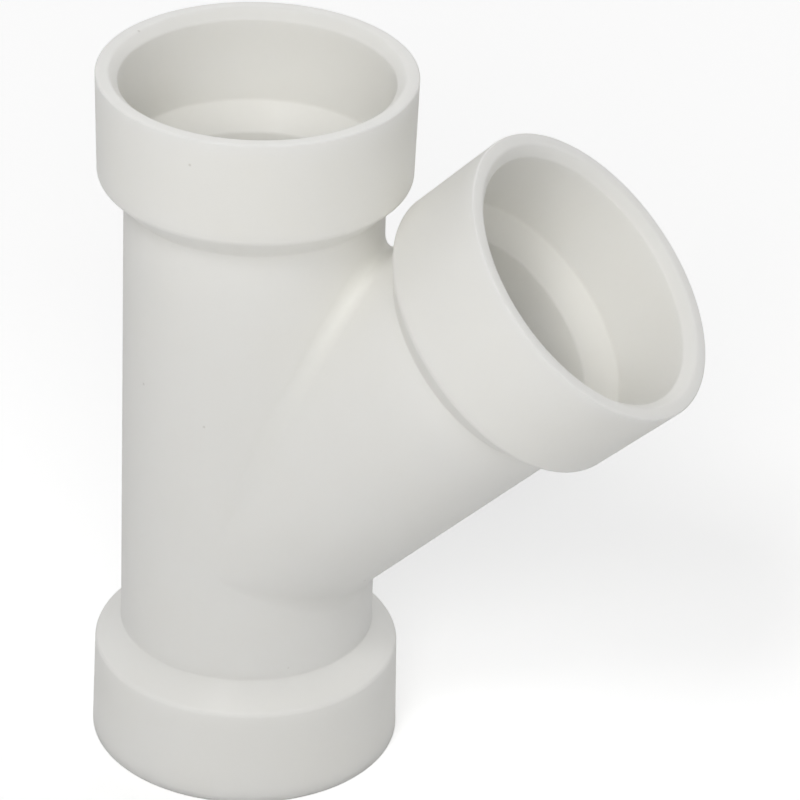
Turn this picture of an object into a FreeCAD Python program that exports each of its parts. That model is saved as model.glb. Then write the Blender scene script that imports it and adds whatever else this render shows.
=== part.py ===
import FreeCAD
import Part
import math
import os

# A 45 degree lateral wye for drain pipe, moulded as one piece. Three arms leave one point,
# where the axes cross: the lower and upper arms make the straight run, and the branch arm
# leans away from it. Each arm ends in a hub with a socket that a pipe is cemented into.
# Frame: origin at the centre of the lower rim, +Z up the run, branch towards +X, millimetres.

# Sockets, for pipe of 1.900 inch outside diameter
PIPE_DIAMETER = 48.26
SOCKET_CLEARANCE = 0.06
SOCKET_DEPTH = 17.46
LEAD_IN_WIDTH = 1.65
LEAD_IN_DEPTH = 1.7
STOP_LENGTH = 4.6

# Hubs round the sockets
HUB_WALL = 3.96
HUB_TAPER = 0.4
SHOULDER_ANGLE = 45.0
RIM_BEVEL = 0.3
SHOULDER_ROUND = 1.4
NECK_ROUND = 0.6

# Body between the hubs
BORE_DIAMETER = 40.4
BODY_WALL = 2.85
BRANCH_SLIMMER = 0.1
BRANCH_ANGLE = 45.0
CREASE_ROUND = 2.0

# How far each hub reaches past its socket, towards the crossing
LOWER_SETBACK = 1.2
UPPER_SETBACK = 1.7
BRANCH_SETBACK = 3.0

# Plain body on the lower arm, from under the branch to the shoulder
LOWER_NECK = 12.55
# How far the corners of the two shoulders that face each other stay from the plane midway
# between their arms, each measured square to its own arm
UPPER_CLEARANCE = 0.95
BRANCH_CLEARANCE = 0.42
# Least plain body between the blended crotch and a shoulder
CROTCH_CLEARANCE = 1.2

# Sizes that follow from the ones above
SOCKET_RADIUS = PIPE_DIAMETER / 2 + SOCKET_CLEARANCE
MOUTH_RADIUS = SOCKET_RADIUS + LEAD_IN_WIDTH
HUB_RADIUS = SOCKET_RADIUS + HUB_WALL
SHOULDER_RADIUS = HUB_RADIUS - HUB_TAPER
RUN_BORE = BORE_DIAMETER / 2
BRANCH_BORE = RUN_BORE - BRANCH_SLIMMER
RUN_BODY = RUN_BORE + BODY_WALL
BRANCH_BODY = BRANCH_BORE + BODY_WALL
SHOULDER_SLOPE = math.tan(math.radians(SHOULDER_ANGLE))
MIDWAY_SLOPE = math.tan(math.radians(BRANCH_ANGLE / 2))
RUN_SHOULDER = (SHOULDER_RADIUS - RUN_BODY) / SHOULDER_SLOPE
BRANCH_SHOULDER = (SHOULDER_RADIUS - BRANCH_BODY) / SHOULDER_SLOPE

# How far from the crossing the corner of each shoulder comes. The two that face each other
# clear one another, and each clears the crotch.
CROTCH_END = (RUN_BODY + CREASE_ROUND) / MIDWAY_SLOPE + CROTCH_CLEARANCE
UPPER_HUB_GAP = (SHOULDER_RADIUS + UPPER_CLEARANCE) / MIDWAY_SLOPE
BRANCH_HUB_GAP = (SHOULDER_RADIUS + BRANCH_CLEARANCE) / MIDWAY_SLOPE
LOWER_CORNER = RUN_BODY * MIDWAY_SLOPE + LOWER_NECK + RUN_SHOULDER
UPPER_CORNER = max(UPPER_HUB_GAP, CROTCH_END + RUN_SHOULDER)
BRANCH_CORNER = max(BRANCH_HUB_GAP, CROTCH_END + BRANCH_SHOULDER)

# Lay of each arm: from the point where the axes cross to where the pipe stops
LOWER_LAY = LOWER_CORNER + LOWER_SETBACK
UPPER_LAY = UPPER_CORNER + UPPER_SETBACK
BRANCH_LAY = BRANCH_CORNER + BRANCH_SETBACK
CROSSING = FreeCAD.Vector(0, 0, LOWER_LAY + SOCKET_DEPTH)

# How far a cutting tool runs past the rim that it opens
OVERRUN = 1.0
# Points closer than this count as one
TOUCH = 1e-4
# The most of a side that the rounding at one of its ends may take up
MOST_OF_SIDE = 0.45

ORIGIN = FreeCAD.Vector(0, 0, 0)
UP = FreeCAD.Vector(0, 0, 1)
SIDEWAYS = FreeCAD.Vector(0, 1, 0)
FULL_TURN = 360
STRAIGHT_DOWN = 180
STRAIGHT_UP = 0


def corner_arc(before, corner, after, rounding):
    """The arc that rounds a corner of an outline, as its start, middle and end points."""
    to_before = before - corner
    to_after = after - corner
    room = MOST_OF_SIDE * min(to_before.Length, to_after.Length)
    to_before.normalize()
    to_after.normalize()
    half = to_before.getAngle(to_after) / 2
    reach = min(rounding / math.tan(half), room)
    radius = reach * math.tan(half)
    inwards = (to_before + to_after).normalize()
    middle = corner + inwards * (radius / math.sin(half) - radius)
    return corner + to_before * reach, middle, corner + to_after * reach


def revolved(outline):
    """A solid of revolution about Z from (radius, height, rounding) corners, which it closes."""
    corners = [FreeCAD.Vector(radius, 0, height) for radius, height, _ in outline]
    roundings = [rounding for _, _, rounding in outline]
    before = corners[-1:] + corners[:-1]
    after = corners[1:] + corners[:1]
    arcs = [corner_arc(*corner) for corner in zip(before, corners, after, roundings)]
    edges = []
    for (start, middle, end), rounding, following in zip(arcs, roundings, arcs[1:] + arcs[:1]):
        if rounding:
            edges.append(Part.Arc(start, middle, end).toShape())
        edges.append(Part.LineSegment(end, following[0]).toShape())
    return Part.Face(Part.Wire(edges)).revolve(ORIGIN, UP, FULL_TURN)


def arm_outside(lay, setback, body_radius):
    """The outer form of one arm along +Z: plain body, shoulder, tapered hub and bevelled rim."""
    rim = lay + SOCKET_DEPTH
    shoulder_top = lay - setback
    shoulder_length = (SHOULDER_RADIUS - body_radius) / SHOULDER_SLOPE
    return revolved([
        (0, 0, 0),
        (body_radius, 0, 0),
        (body_radius, shoulder_top - shoulder_length, NECK_ROUND),
        (SHOULDER_RADIUS, shoulder_top, SHOULDER_ROUND),
        (HUB_RADIUS, rim - RIM_BEVEL, 0),
        (HUB_RADIUS - RIM_BEVEL, rim, 0),
        (0, rim, 0),
    ])


def arm_inside(lay, bore_radius):
    """The hollow of one arm along +Z: bore, conical pipe stop, socket and lead-in."""
    rim = lay + SOCKET_DEPTH
    return revolved([
        (0, 0, 0),
        (bore_radius, 0, 0),
        (bore_radius, lay - STOP_LENGTH, 0),
        (SOCKET_RADIUS, lay, 0),
        (SOCKET_RADIUS, rim - LEAD_IN_DEPTH, 0),
        (MOUTH_RADIUS, rim, 0),
        (MOUTH_RADIUS, rim + OVERRUN, 0),
        (0, rim + OVERRUN, 0),
    ])


def aimed(arm, lean):
    """An arm turned by its lean from straight up, towards +X, and set on the crossing point."""
    arm.rotate(ORIGIN, SIDEWAYS, lean)
    arm.translate(CROSSING)
    return arm


def straight_run(lower, upper):
    """A lower arm and an upper arm set in line, as one shape."""
    return aimed(lower, STRAIGHT_DOWN).fuse(aimed(upper, STRAIGHT_UP)).removeSplitter()


def crossing_edges(shape, run, branch):
    """The edges of a shape where the surface of the run meets the surface of the branch."""
    found = []
    for edge in shape.Edges:
        middle = Part.Vertex(edge.valueAt((edge.FirstParameter + edge.LastParameter) / 2))
        to_run = run.Shells[0].distToShape(middle)[0]
        to_branch = branch.Shells[0].distToShape(middle)[0]
        if max(to_run, to_branch) < TOUCH:
            found.append(edge)
    return found


def outer_form():
    """Run and branch joined, with the crease between them blended."""
    lower = arm_outside(LOWER_LAY, LOWER_SETBACK, RUN_BODY)
    upper = arm_outside(UPPER_LAY, UPPER_SETBACK, RUN_BODY)
    run = straight_run(lower, upper)
    branch = aimed(arm_outside(BRANCH_LAY, BRANCH_SETBACK, BRANCH_BODY), BRANCH_ANGLE)
    joined = run.fuse(branch)
    return joined.makeFillet(CREASE_ROUND, crossing_edges(joined, run, branch))


def wye_body():
    """The whole fitting: the outer form, hollowed along the run and along the branch."""
    run = straight_run(arm_inside(LOWER_LAY, RUN_BORE), arm_inside(UPPER_LAY, RUN_BORE))
    branch = aimed(arm_inside(BRANCH_LAY, BRANCH_BORE), BRANCH_ANGLE)
    return outer_form().cut(run).cut(branch)


os.makedirs("parts", exist_ok=True)
body = wye_body()
body.exportStep("parts/wye_body.step")
print("wye_body", len(body.Solids), "solid, valid:", body.isValid(), "volume:", round(body.Volume, 1))
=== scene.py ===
"""Looks of a moulded lateral wye fitting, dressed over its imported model.

Lengths are in millimetres where a class doesn't say otherwise, and become metres as the meshes
are made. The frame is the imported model's: +Z up the straight run, the branch leaning towards +X,
and the fitting standing on the rim of its lower hub.
"""

import logging
import math
from dataclasses import dataclass, field
from enum import Enum

import bmesh
import bpy
from mathutils import Matrix, Quaternion, Vector


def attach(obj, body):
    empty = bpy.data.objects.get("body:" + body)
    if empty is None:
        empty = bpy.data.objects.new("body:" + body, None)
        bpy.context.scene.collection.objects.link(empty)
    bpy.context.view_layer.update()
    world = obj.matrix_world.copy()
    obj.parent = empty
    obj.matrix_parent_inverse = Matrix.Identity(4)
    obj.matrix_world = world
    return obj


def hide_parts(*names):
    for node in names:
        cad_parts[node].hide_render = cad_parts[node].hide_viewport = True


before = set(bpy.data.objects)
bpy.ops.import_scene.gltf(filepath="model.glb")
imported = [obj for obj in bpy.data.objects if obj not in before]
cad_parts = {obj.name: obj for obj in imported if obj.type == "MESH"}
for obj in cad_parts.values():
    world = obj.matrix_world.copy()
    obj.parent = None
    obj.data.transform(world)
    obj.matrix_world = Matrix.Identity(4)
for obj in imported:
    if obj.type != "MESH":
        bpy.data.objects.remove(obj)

MM = 0.001
WHITE = (1.0, 1.0, 1.0, 1.0)
# Side of the photograph's frame, in pixels
PICTURE_SIDE = 800

# How near, in metres, a point counts as lying on the plane that cuts an arm, on a ring of an
# arm's outline, and, once the arms are cut, on its neighbour or on the plane between two arms
ON_CUT = 1e-7
ON_RING = 1e-6
ON_SEAM = 2e-6

LOG = logging.getLogger("wye")


def direction(turn: float, lift: float) -> Vector:
    """The unit vector from the fitting towards a place round it.

    Args:
        turn: Turn from straight in front, towards +X, in degrees.
        lift: Height above the horizon, in degrees.

    Returns:
        The vector.
    """
    across, up = math.radians(turn), math.radians(lift)
    return Vector(
        (math.sin(across) * math.cos(up), -math.cos(across) * math.cos(up), math.sin(up))
    )


class Arm(Enum):
    """The three arms of the fitting, each with its lean from straight up, in degrees."""

    LOWER = 180.0
    UPPER = 0.0
    BRANCH = 45.0

    @property
    def turn(self) -> Matrix:
        """The turn that brings +Z onto the arm's axis."""
        return Matrix.Rotation(math.radians(self.value), 4, "Y")

    @property
    def axis(self) -> Vector:
        """The unit vector along the arm, away from the crossing."""
        return self.turn @ Vector((0.0, 0.0, 1.0))

    def across(self, other: "Arm") -> Vector:
        """The direction square to the plane midway between two arms.

        Args:
            other: The other arm.

        Returns:
            The unit vector that points to the other arm's side.
        """
        return (other.axis - self.axis).normalized()


@dataclass(frozen=True)
class Corner:
    """One ring of an arm's outline, and how the ring's edge is rounded.

    Args:
        radius: Radius of the ring.
        height: Place along the arm, from the crossing point.
        reach: How far the rounding runs back along each side, 0 for a sharp ring.
    """

    radius: float
    height: float
    reach: float = 0.0


@dataclass(frozen=True)
class MouldedPvc:
    """Finish of satin off-white rigid PVC, as it comes out of a polished mould.

    Args:
        colour: Linear base colour.
        warm: Linear colour of the faintly yellower patches.
        speck_colour: Linear colour of the pinhead specks.
        roughness: Middle roughness of the plastic.
        roughness_spread: How far the roughness wanders either way.
        refraction: Refractive index of the plastic.
        reflection: Level of its reflection, 0.5 for what the index gives.
        cloudiness: Share of the light that goes into the plastic and comes out again.
        cloud_depth: How far that light spreads.
        skin: Weight of the glossier moulding skin over it.
        skin_roughness: Roughness of that skin.
        flow_scale: How close the slow waves are that the melt leaves, per metre.
        flow_height: Height of those waves.
        flow_strength: How strongly they bend the light.
        blotch_finer: How many times closer the patches of the roughness are.
        grain_scale: How close the fine mould texture is, per metre.
        grain_height: Height of that texture.
        grain_strength: How strongly it bends the light.
        speck_scale: How close together the dark specks are, per metre.
        speck_core: Radius of a speck's darkest part, as a share of the specks' spacing.
        speck_edge: Radius where a speck has faded out, as the same share.
        speck_depth: How much of the speck's colour shows in its darkest part.
    """

    colour: tuple[float, float, float] = (0.86, 0.855, 0.825)
    warm: tuple[float, float, float] = (0.85, 0.837, 0.79)
    speck_colour: tuple[float, float, float] = (0.30, 0.27, 0.20)
    roughness: float = 0.5
    roughness_spread: float = 0.05
    refraction: float = 1.53
    reflection: float = 0.2
    cloudiness: float = 0.75
    cloud_depth: float = 6.0
    skin: float = 0.07
    skin_roughness: float = 0.22
    flow_scale: float = 60.0
    flow_height: float = 0.5
    flow_strength: float = 0.25
    blotch_finer: float = 3.0
    grain_scale: float = 2600.0
    grain_height: float = 0.03
    grain_strength: float = 0.08
    speck_scale: float = 70.0
    speck_core: float = 0.012
    speck_edge: float = 0.024
    speck_depth: float = 0.25

    def material(self) -> bpy.types.Material:
        """Builds the procedural material.

        Returns:
            The finished material.
        """
        made = bpy.data.materials.new("satin_pvc")
        made.use_nodes = True
        nodes, links = made.node_tree.nodes, made.node_tree.links
        shader = nodes["Principled BSDF"]
        shader.inputs["IOR"].default_value = self.refraction
        shader.inputs["Specular IOR Level"].default_value = self.reflection
        shader.inputs["Subsurface Weight"].default_value = self.cloudiness
        shader.inputs["Subsurface Radius"].default_value = (1.0, 1.0, 1.0)
        shader.inputs["Subsurface Scale"].default_value = self.cloud_depth * MM
        shader.inputs["Coat Weight"].default_value = self.skin
        shader.inputs["Coat Roughness"].default_value = self.skin_roughness
        place = nodes.new("ShaderNodeTexCoord").outputs["Object"]

        flow = self._noise(made, place, self.flow_scale, detail=3.0)
        tint = nodes.new("ShaderNodeMix")
        tint.data_type = "RGBA"
        tint.inputs["A"].default_value = (*self.colour, 1.0)
        tint.inputs["B"].default_value = (*self.warm, 1.0)
        links.new(flow, tint.inputs["Factor"])
        speckled = self._speckled(made, place, tint.outputs["Result"])
        links.new(speckled, shader.inputs["Base Color"])

        blotch = self._noise(made, place, self.flow_scale * self.blotch_finer, detail=4.0)
        rough = nodes.new("ShaderNodeMapRange")
        rough.inputs["To Min"].default_value = self.roughness - self.roughness_spread
        rough.inputs["To Max"].default_value = self.roughness + self.roughness_spread
        links.new(blotch, rough.inputs["Value"])
        links.new(rough.outputs["Result"], shader.inputs["Roughness"])
        links.new(self._relief(made, place, flow), shader.inputs["Normal"])
        return made

    def _noise(
        self, made: bpy.types.Material, place: bpy.types.NodeSocket, scale: float, detail: float
    ) -> bpy.types.NodeSocket:
        """Adds a noise texture on the piece's own coordinates.

        Args:
            made: The material that it goes into.
            place: The coordinates to read.
            scale: The noise's scale, per metre.
            detail: How many finer octaves it has.

        Returns:
            The noise's value.
        """
        noise = made.node_tree.nodes.new("ShaderNodeTexNoise")
        noise.inputs["Scale"].default_value = scale
        noise.inputs["Detail"].default_value = detail
        made.node_tree.links.new(place, noise.inputs["Vector"])
        return noise.outputs["Fac"]

    def _speckled(
        self, made: bpy.types.Material, place: bpy.types.NodeSocket, base: bpy.types.NodeSocket
    ) -> bpy.types.NodeSocket:
        """Lays the odd pinhead speck over a colour.

        Args:
            made: The material that it goes into.
            place: The coordinates to read.
            base: The colour below the specks.

        Returns:
            The speckled colour.
        """
        nodes, links = made.node_tree.nodes, made.node_tree.links
        cells = nodes.new("ShaderNodeTexVoronoi")
        cells.inputs["Scale"].default_value = self.speck_scale
        links.new(place, cells.inputs["Vector"])
        near = nodes.new("ShaderNodeMapRange")
        near.inputs["From Min"].default_value = self.speck_core
        near.inputs["From Max"].default_value = self.speck_edge
        near.inputs["To Min"].default_value = self.speck_depth
        near.inputs["To Max"].default_value = 0.0
        links.new(cells.outputs["Distance"], near.inputs["Value"])
        mixed = nodes.new("ShaderNodeMix")
        mixed.data_type = "RGBA"
        mixed.inputs["B"].default_value = (*self.speck_colour, 1.0)
        links.new(near.outputs["Result"], mixed.inputs["Factor"])
        links.new(base, mixed.inputs["A"])
        return mixed.outputs["Result"]

    def _relief(
        self, made: bpy.types.Material, place: bpy.types.NodeSocket, flow: bpy.types.NodeSocket
    ) -> bpy.types.NodeSocket:
        """Adds the skin's slow waves and its fine grain as bumps.

        Args:
            made: The material that it goes into.
            place: The coordinates to read.
            flow: The slow noise that the colour follows too.

        Returns:
            The bumped normal.
        """
        nodes, links = made.node_tree.nodes, made.node_tree.links
        waves = nodes.new("ShaderNodeBump")
        waves.inputs["Strength"].default_value = self.flow_strength
        waves.inputs["Distance"].default_value = self.flow_height * MM
        links.new(flow, waves.inputs["Height"])
        grain = nodes.new("ShaderNodeBump")
        grain.inputs["Strength"].default_value = self.grain_strength
        grain.inputs["Distance"].default_value = self.grain_height * MM
        texture = self._noise(made, place, self.grain_scale, detail=2.0)
        links.new(texture, grain.inputs["Height"])
        links.new(waves.outputs["Normal"], grain.inputs["Normal"])
        return grain.outputs["Normal"]


@dataclass(frozen=True)
class PaleFloor:
    """Finish of the matt studio floor.

    Args:
        grey: Linear grey that the lamps light and the fitting shades.
        roughness: Its roughness.
        lift: Linear grey that the camera sees on top of it, so that the lit floor shows white.
    """

    grey: float = 0.8
    roughness: float = 0.9
    lift: float = 0.4

    def material(self) -> bpy.types.Material:
        """Builds the material.

        Returns:
            The finished material.
        """
        made = bpy.data.materials.new("floor_white")
        made.use_nodes = True
        nodes, links = made.node_tree.nodes, made.node_tree.links
        matt = nodes["Principled BSDF"]
        matt.inputs["Base Color"].default_value = (self.grey, self.grey, self.grey, 1.0)
        matt.inputs["Roughness"].default_value = self.roughness
        matt.inputs["Specular IOR Level"].default_value = 0.0
        glow = nodes.new("ShaderNodeEmission")
        glow.inputs["Color"].default_value = (self.lift, self.lift, self.lift, 1.0)
        rays = nodes.new("ShaderNodeLightPath")
        links.new(rays.outputs["Is Camera Ray"], glow.inputs["Strength"])
        both = nodes.new("ShaderNodeAddShader")
        links.new(matt.outputs["BSDF"], both.inputs[0])
        links.new(glow.outputs["Emission"], both.inputs[1])
        links.new(both.outputs["Shader"], nodes["Material Output"].inputs["Surface"])
        return made


@dataclass
class WyeBody:
    """The one moulded piece: three arms that meet at the crossing of their axes.

    Args:
        finish: What the body is moulded in.
        crossing: Height of the crossing point above the lower rim.
        body: Outside radius of the plain arms.
        bore: Radius of the waterway.
        socket: Radius of the socket wall.
        mouth: Radius of the lead-in at the rim.
        shoulder: Radius of a hub at its shoulder, which slopes at 45 degrees.
        hub: Radius of a hub at its rim.
        socket_depth: From a rim to where the pipe stops.
        stop_length: Length of the conical pipe stop.
        lead_in: Depth of the lead-in chamfer.
        lays: From the crossing point to where each pipe stops.
        setbacks: How far each hub reaches past its socket.
        neck_reach: Rounding where the plain arm meets the shoulder.
        shoulder_reach: Rounding of the shoulder's corner.
        rim_reach: Rounding of the rim's two edges.
        socket_reach: Rounding of the edges inside the socket.
        sides: How many flats stand for a full turn.
        rounding_steps: How many faces stand for the rounding of a ring.
        blend_steps: How many faces stand for the blend of the crossing.
        crease_round: Radius of the blend where the arms' outsides meet sharply.
        crotch_reach: The most that this blend runs back, short of the shoulders.
        crease_polish: Reach of that blend to each side, where they meet gently.
        polish_fade: Turn at the crease, in degrees, below which the polish fades out.
        fade_power: How quickly it does, 1 for evenly with the turn.
        least_reach: What is left of it where the turn is nothing.
        inner_reach: How far the softened inner crossing runs back.
        widest_reach: The reach that an edge's full weight stands for.
    """

    finish: MouldedPvc = MouldedPvc()
    crossing: float = 45.458
    body: float = 23.05
    bore: float = 20.2
    socket: float = 24.19
    mouth: float = 25.84
    shoulder: float = 27.75
    hub: float = 28.15
    socket_depth: float = 17.46
    stop_length: float = 4.6
    lead_in: float = 1.7
    lays: dict[Arm, float] = field(
        default_factory=lambda: {Arm.LOWER: 27.998, Arm.UPPER: 70.988, Arm.BRANCH: 71.008}
    )
    setbacks: dict[Arm, float] = field(
        default_factory=lambda: {Arm.LOWER: 1.2, Arm.UPPER: 1.7, Arm.BRANCH: 3.0}
    )
    neck_reach: float = 0.25
    shoulder_reach: float = 0.58
    rim_reach: float = 0.35
    socket_reach: float = 0.3
    sides: int = 128
    rounding_steps: int = 5
    blend_steps: int = 6
    crease_round: float = 2.5
    crotch_reach: float = 5.4
    crease_polish: float = 2.7
    polish_fade: float = 40.0
    fade_power: float = 1.5
    least_reach: float = 0.1
    inner_reach: float = 0.35
    widest_reach: float = 10.0

    @property
    def centre(self) -> Vector:
        """The crossing point in metres."""
        return Vector((0.0, 0.0, self.crossing * MM))

    def outline(self, arm: Arm) -> list[Corner]:
        """The rings of an arm, up its outside, over the rim and down its inside.

        Args:
            arm: Which arm.

        Returns:
            The rings in order, starting and ending at the crossing point's height.
        """
        lay = self.lays[arm]
        rim = lay + self.socket_depth
        corner = lay - self.setbacks[arm]
        return [
            Corner(self.body, 0.0),
            Corner(self.body, corner - (self.shoulder - self.body), self.neck_reach),
            Corner(self.shoulder, corner, self.shoulder_reach),
            Corner(self.hub, rim, self.rim_reach),
            Corner(self.mouth, rim, self.rim_reach),
            Corner(self.socket, rim - self.lead_in, self.socket_reach),
            Corner(self.socket, lay, self.socket_reach),
            Corner(self.bore, lay - self.stop_length, self.socket_reach),
            Corner(self.bore, 0.0),
        ]

    def build(self) -> bpy.types.Object:
        """Models the body and gives it its finish.

        Returns:
            The finished object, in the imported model's place.
        """
        arms = [self._arm(arm) for arm in Arm]
        piece = self._joined(arms)
        self._soften_crossings(piece)
        self._shade(piece)
        piece.data.materials.append(self.finish.material())
        return piece

    def _arm(self, arm: Arm) -> bpy.types.Object:
        """Draws one arm ring by ring from a circle, and cuts it to its share of the crossing.

        Args:
            arm: Which arm.

        Returns:
            The arm as an open tube that is turned into place.
        """
        rings = self.outline(arm)
        bpy.ops.object.select_all(action="DESELECT")
        bpy.ops.mesh.primitive_circle_add(vertices=self.sides, radius=rings[0].radius * MM)
        tube = bpy.context.object
        tube.name = f"arm_{arm.name.lower()}"
        bpy.ops.object.mode_set(mode="EDIT")
        bpy.ops.mesh.select_all(action="SELECT")
        for below, ring in zip(rings, rings[1:]):
            climb = (ring.height - below.height) * MM
            widen = ring.radius / below.radius
            bpy.ops.mesh.extrude_region_move(TRANSFORM_OT_translate={"value": (0.0, 0.0, climb)})
            bpy.ops.transform.resize(value=(widen, widen, 1.0))
        for ring in rings:
            if ring.reach:
                self._round_ring(tube, ring)
        bpy.ops.object.mode_set(mode="OBJECT")
        tube.data.transform(Matrix.Translation(self.centre) @ arm.turn)
        self._mitre(tube, arm)
        return tube

    def _round_ring(self, tube: bpy.types.Object, ring: Corner) -> None:
        """Rounds the edge along one ring of a tube that stands along +Z.

        Args:
            tube: The tube, in edit mode.
            ring: The ring and its rounding.
        """
        bpy.ops.mesh.select_mode(type="EDGE")
        bpy.ops.mesh.select_all(action="DESELECT")
        mesh = bmesh.from_edit_mesh(tube.data)
        for edge in mesh.edges:
            edge.select = all(
                abs(v.co.z - ring.height * MM) < ON_RING
                and abs(v.co.xy.length - ring.radius * MM) < ON_RING
                for v in edge.verts
            )
        mesh.select_flush_mode()
        bmesh.update_edit_mesh(tube.data)
        bpy.ops.mesh.bevel(
            offset=ring.reach * MM, segments=self.rounding_steps, affect="EDGES"
        )

    def _mitre(self, tube: bpy.types.Object, arm: Arm) -> None:
        """Cuts a tube with the planes midway between its arm and each of the other two.

        Args:
            tube: The tube in its place.
            arm: Which arm it is.
        """
        bpy.context.view_layer.objects.active = tube
        bpy.ops.object.mode_set(mode="EDIT")
        for other in Arm:
            if other is not arm:
                bpy.ops.mesh.select_all(action="SELECT")
                bpy.ops.mesh.bisect(
                    plane_co=self.centre,
                    plane_no=arm.across(other),
                    clear_outer=True,
                    threshold=ON_CUT,
                )
        bpy.ops.object.mode_set(mode="OBJECT")

    def _joined(self, arms: list[bpy.types.Object]) -> bpy.types.Object:
        """Joins the mitred arms into one closed shell with its faces outwards.

        Args:
            arms: The three tubes.

        Returns:
            The joined object.
        """
        bpy.ops.object.select_all(action="DESELECT")
        for tube in arms:
            tube.select_set(True)
        bpy.context.view_layer.objects.active = arms[0]
        bpy.ops.object.join()
        piece = bpy.context.object
        piece.name = "wye_shell"
        bpy.ops.object.mode_set(mode="EDIT")
        bpy.ops.mesh.select_all(action="SELECT")
        bpy.ops.mesh.remove_doubles(threshold=ON_SEAM)
        bpy.ops.mesh.normals_make_consistent(inside=False)
        bpy.ops.object.mode_set(mode="OBJECT")
        return piece

    def _soften_crossings(self, piece: bpy.types.Object) -> None:
        """Blends the crease between the arms, and softens the one between their bores.

        Args:
            piece: The joined shell.
        """
        mesh = piece.data
        mesh.attributes.new("bevel_weight_edge", "FLOAT", "EDGE")
        shell = bmesh.new()
        shell.from_mesh(mesh)
        weight = shell.edges.layers.float["bevel_weight_edge"]
        widest = self.widest_reach * MM
        crossing_edges = [edge for edge in shell.edges if self._on_crossing(edge)]
        for edge in crossing_edges:
            edge[weight] = self._blend_reach(edge) / widest
        LOG.info("crossing edges blended: %d", len(crossing_edges))
        shell.to_mesh(mesh)
        shell.free()
        blend = piece.modifiers.new("crossing_blend", "BEVEL")
        blend.limit_method = "WEIGHT"
        blend.width = widest
        blend.segments = self.blend_steps
        blend.use_clamp_overlap = False
        bpy.context.view_layer.objects.active = piece
        bpy.ops.object.modifier_apply(modifier=blend.name)

    def _on_crossing(self, edge: bmesh.types.BMEdge) -> bool:
        """Whether an edge lies where the branch meets the run.

        Args:
            edge: The edge.

        Returns:
            True if both its ends lie on one of the branch's two mitre planes.
        """
        for other in (Arm.LOWER, Arm.UPPER):
            across = Arm.BRANCH.across(other)
            if all(abs((v.co - self.centre).dot(across)) < ON_SEAM for v in edge.verts):
                return True
        return False

    def _blend_reach(self, edge: bmesh.types.BMEdge) -> float:
        """How far the blend runs back from an edge of the crossing.

        Args:
            edge: The edge.

        Returns:
            The reach in metres: wider where the arms meet more sharply, and elsewhere the
            polish of the mould's crease, which fades out where the arms run into each other.
        """
        middle = (edge.verts[0].co + edge.verts[1].co) / 2
        if middle.xy.length < (self.body + self.bore) / 2 * MM:
            return self.inner_reach * MM
        turn = edge.calc_face_angle(0.0)
        share = min(1.0, turn / math.radians(self.polish_fade))
        polish = self.crease_polish * share**self.fade_power
        sharp = min(self.crease_round * math.tan(turn / 2), self.crotch_reach)
        return max(sharp, polish, self.least_reach) * MM

    def _shade(self, piece: bpy.types.Object) -> None:
        """Shades the shell smooth, with its plain faces kept true beside the roundings.

        Args:
            piece: The shell.
        """
        bpy.ops.object.select_all(action="DESELECT")
        piece.select_set(True)
        bpy.context.view_layer.objects.active = piece
        bpy.ops.object.shade_smooth()
        true_faces = piece.modifiers.new("true_faces", "WEIGHTED_NORMAL")
        bpy.ops.object.modifier_apply(modifier=true_faces.name)


@dataclass(frozen=True)
class SoftBox:
    """A square area lamp that hangs on a ring round the fitting and points at it.

    Args:
        name: The lamp's name.
        turn: Its turn round the fitting from straight in front, towards +X, in degrees.
        lift: Its height above the horizon, in degrees.
        level: How bright it makes a white surface that faces it, 1 for white.
        side: Its side in metres.
        away: Its distance in metres.
    """

    name: str
    turn: float
    lift: float
    level: float
    side: float = 1.2
    away: float = 1.5

    def hang(self, aim: Vector) -> None:
        """Puts the lamp up.

        Args:
            aim: The point that it shines on, in metres.
        """
        light = bpy.data.lights.new(self.name, "AREA")
        light.energy = self.level * (math.pi * self.away) ** 2
        light.size = self.side
        lamp = bpy.data.objects.new(self.name, light)
        bpy.context.scene.collection.objects.link(lamp)
        way = direction(self.turn, self.lift)
        lamp.location = aim + way * self.away
        lamp.rotation_euler = (-way).to_track_quat("-Z", "Y").to_euler()


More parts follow.
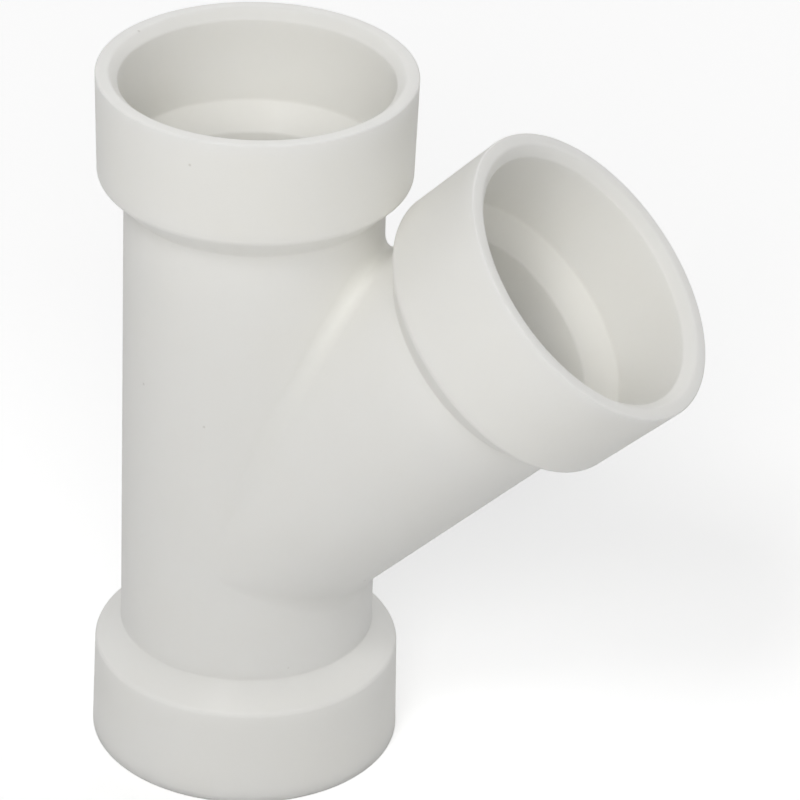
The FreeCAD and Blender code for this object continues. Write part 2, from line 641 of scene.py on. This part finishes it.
@dataclass
class Studio:
    """The floor, the light and the camera.

    Args:
        floor_finish: What the floor is made of.
        floor_side: Side of the floor, in metres.
        azimuth: The camera's turn round the fitting, in degrees.
        elevation: The camera's height above the horizon, in degrees.
        distance: From the camera to the point it aims at.
        focal_px: Focal length in pixels of the picture.
        aim: The point in the middle of the picture.
        roll: The picture's tilt, in degrees.
        sight: Nearest and farthest distance that the camera sees, in metres.
        surroundings: How bright the even light from all round is, 1 for white.
        lamps: The soft boxes.
    """

    floor_finish: PaleFloor = PaleFloor()
    floor_side: float = 6.0
    azimuth: float = 19.957
    elevation: float = 30.106
    distance: float = 876.58
    focal_px: float = 4951.4
    aim: tuple[float, float, float] = (28.448, 0.0, 75.066)
    roll: float = 2.177
    sight: tuple[float, float] = (0.05, 20.0)
    surroundings: float = 0.06
    lamps: tuple[SoftBox, ...] = (
        SoftBox("key", -5.0, 53.0, 0.21, side=0.35),
        SoftBox("front_light", 0.0, 37.0, 0.14, side=0.8),
        SoftBox("near_light", 20.0, 31.0, 0.33, side=0.6, away=1.2),
        SoftBox("left_light", -90.0, 15.0, 0.16),
        SoftBox("back_left", -135.0, 36.0, 0.17),
        SoftBox("back_right", 128.0, 24.0, 0.20),
        SoftBox("back_light", 180.0, 43.0, 0.21),
    )

    def build(self) -> None:
        """Sets up the floor, the world, the lamps and the camera."""
        self._floor()
        self._world()
        for lamp in self.lamps:
            lamp.hang(Vector(self.aim) * MM)
        self._camera()
        bpy.context.scene.view_settings.view_transform = "Standard"

    def _floor(self) -> None:
        """Lays the floor that the fitting stands on, which keeps its shadow."""
        bpy.ops.object.select_all(action="DESELECT")
        bpy.ops.mesh.primitive_plane_add(size=self.floor_side)
        floor = bpy.context.object
        floor.name = "floor"
        floor.data.materials.append(self.floor_finish.material())

    def _world(self) -> None:
        """Fills the surroundings with even light, and shows them white to all that looks."""
        world = bpy.data.worlds.new("surroundings")
        world.use_nodes = True
        nodes, links = world.node_tree.nodes, world.node_tree.links
        sky = nodes["Background"]
        sky.inputs["Color"].default_value = WHITE
        rays = nodes.new("ShaderNodeLightPath")
        seen = rays.outputs["Is Camera Ray"]
        for kind in ("Is Glossy Ray", "Is Transmission Ray"):
            either = nodes.new("ShaderNodeMath")
            either.operation = "MAXIMUM"
            links.new(seen, either.inputs[0])
            links.new(rays.outputs[kind], either.inputs[1])
            seen = either.outputs["Value"]
        level = nodes.new("ShaderNodeMapRange")
        level.inputs["To Min"].default_value = self.surroundings
        level.inputs["To Max"].default_value = 1.0
        links.new(seen, level.inputs["Value"])
        links.new(level.outputs["Result"], sky.inputs["Strength"])
        bpy.context.scene.world = world

    def _camera(self) -> None:
        """Places the camera where the photograph was taken from."""
        back = direction(self.azimuth, self.elevation)
        lens = bpy.data.cameras.new("camera")
        lens.lens = self.focal_px / PICTURE_SIDE * lens.sensor_width
        lens.clip_start, lens.clip_end = self.sight
        camera = bpy.data.objects.new("camera", lens)
        bpy.context.scene.collection.objects.link(camera)
        camera.location = (Vector(self.aim) + back * self.distance) * MM
        level = (-back).to_track_quat("-Z", "Y")
        tilt = Quaternion((0.0, 0.0, 1.0), math.radians(self.roll))
        camera.rotation_euler = (level @ tilt).to_euler()
        bpy.context.scene.camera = camera


def main() -> None:
    """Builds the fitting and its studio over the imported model."""
    logging.basicConfig(level=logging.INFO, format="%(name)s: %(message)s")
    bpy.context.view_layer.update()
    piece = WyeBody().build()
    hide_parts("wye_body")
    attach(piece, "root")
    LOG.info("%s: %d faces", piece.name, len(piece.data.polygons))
    Studio().build()


if __name__ == "__main__":
    main()
